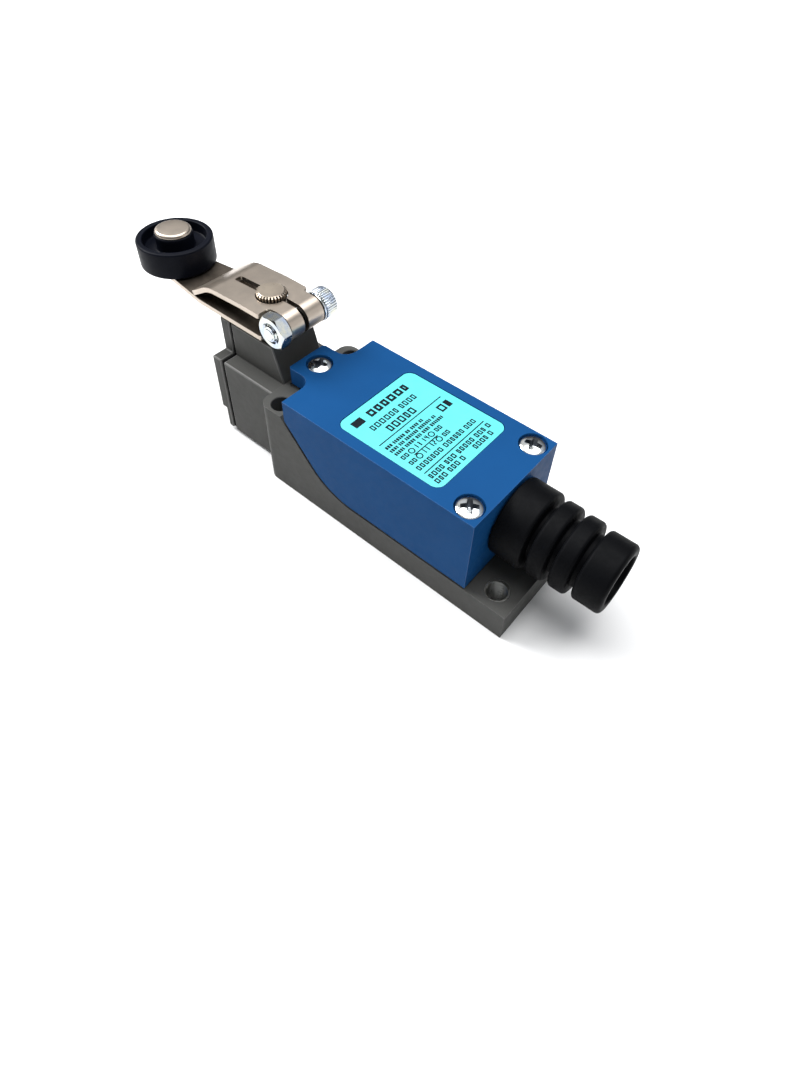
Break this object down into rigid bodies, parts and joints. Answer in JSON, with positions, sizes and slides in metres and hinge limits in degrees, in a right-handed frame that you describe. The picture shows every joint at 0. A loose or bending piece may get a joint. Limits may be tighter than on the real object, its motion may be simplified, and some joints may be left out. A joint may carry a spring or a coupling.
{
  "type": "limit switch",
  "caption": "Compact die-cast limit switch with a side-turning roller lever clamped on a serrated shaft, a blue cover, a label plate and a ribbed rubber cable boot.",
  "frame": {"origin": "centre of the four mounting holes on the flat back of the base", "axes": "+X along the body from the roller towards the cable boot, +Z out of the mounting face through the cover, +Y across the body"},
  "size_m": [0.1308, 0.028, 0.0419],
  "materials": {
    "cast_grey": "matte grey die-cast",
    "cover_blue": "satin blue paint",
    "rubber": "matte black",
    "nickel": "warm nickel plate",
    "zinc": "bright zinc plate",
    "label_film": "printed cyan film",
    "nylon": "moulded black",
    "moulding": "dark moulding",
    "brass": "machined",
    "silver": "silver contact strip",
    "bronze": "sintered bronze",
    "spring_steel": "drawn wire"
  },
  "bodies": {
    "housing": {"base_housing": "cast_grey", "cover": "cover_blue", "cover_gasket": "rubber", "label_plate": "label_film", "cover_screw_1": "zinc", "cover_screw_2": "zinc", "cover_screw_3": "zinc", "head_end_cap": "cast_grey", "end_cap_gasket": "rubber", "end_cap_screw_1": "zinc", "end_cap_screw_2": "zinc", "end_cap_screw_3": "zinc", "end_cap_screw_4": "zinc", "cable_boot": "rubber", "shaft_bush": "bronze", "shaft_seal_ring": "rubber", "return_spring": "spring_steel", "switch_block": "moulding", "switch_lid": "moulding", "terminal_11": "brass", "terminal_12": "brass", "terminal_13": "brass", "terminal_14": "brass", "terminal_screw_11": "zinc", "terminal_screw_12": "zinc", "terminal_screw_13": "zinc", "terminal_screw_14": "zinc", "contact_spring": "spring_steel"},
    "lever": {"actuator_shaft": "nickel", "shaft_cam": "nickel", "shaft_clip": "spring_steel", "roller_lever": "nickel", "clamp_bolt": "zinc", "clamp_nut": "zinc", "clamp_spring_washer": "zinc", "roller_rivet": "nickel"},
    "roller_wheel": {"roller": "nylon"},
    "push_rod_body": {"push_rod": "brass"},
    "carrier": {"contact_carrier": "moulding", "contact_bridge_nc": "silver", "contact_bridge_no": "silver"},
    "follower": {"return_follower": "brass"}
  },
  "joints": [
    {"name": "lever_turn", "type": "hinge", "parent": "housing", "child": "lever", "pos_m": [-0.0414, 0, 0.03545], "axis": [0, 0, 1], "range_deg": [-75, 75], "stiffness_Nm_per_rad": 0.12},
    {"name": "roller_spin", "type": "hinge", "parent": "lever", "child": "roller_wheel", "pos_m": [-0.07415, 0, 0.03545], "axis": [0, 0, 1], "continuous": true},
    {"name": "push_rod_slide", "type": "slide", "parent": "housing", "child": "push_rod_body", "axis": [1, 0, 0], "range_m": [0, 0.0014], "stiffness_N_per_m": 600, "springref_m": -0.001},
    {"name": "carrier_slide", "type": "slide", "parent": "housing", "child": "carrier", "axis": [1, 0, 0], "range_m": [0, 0.0014], "deforming": ["contact_spring"]},
    {"name": "follower_slide", "type": "slide", "parent": "housing", "child": "follower", "axis": [-1, 0, 0], "range_m": [0, 0.0014], "deforming": ["return_spring"]}
  ],
  "couplings": [
    {"joint": "carrier_slide", "follows": "push_rod_slide", "ratio": 1},
    {"joint": "follower_slide", "follows": "push_rod_slide", "ratio": 1}
  ]
}
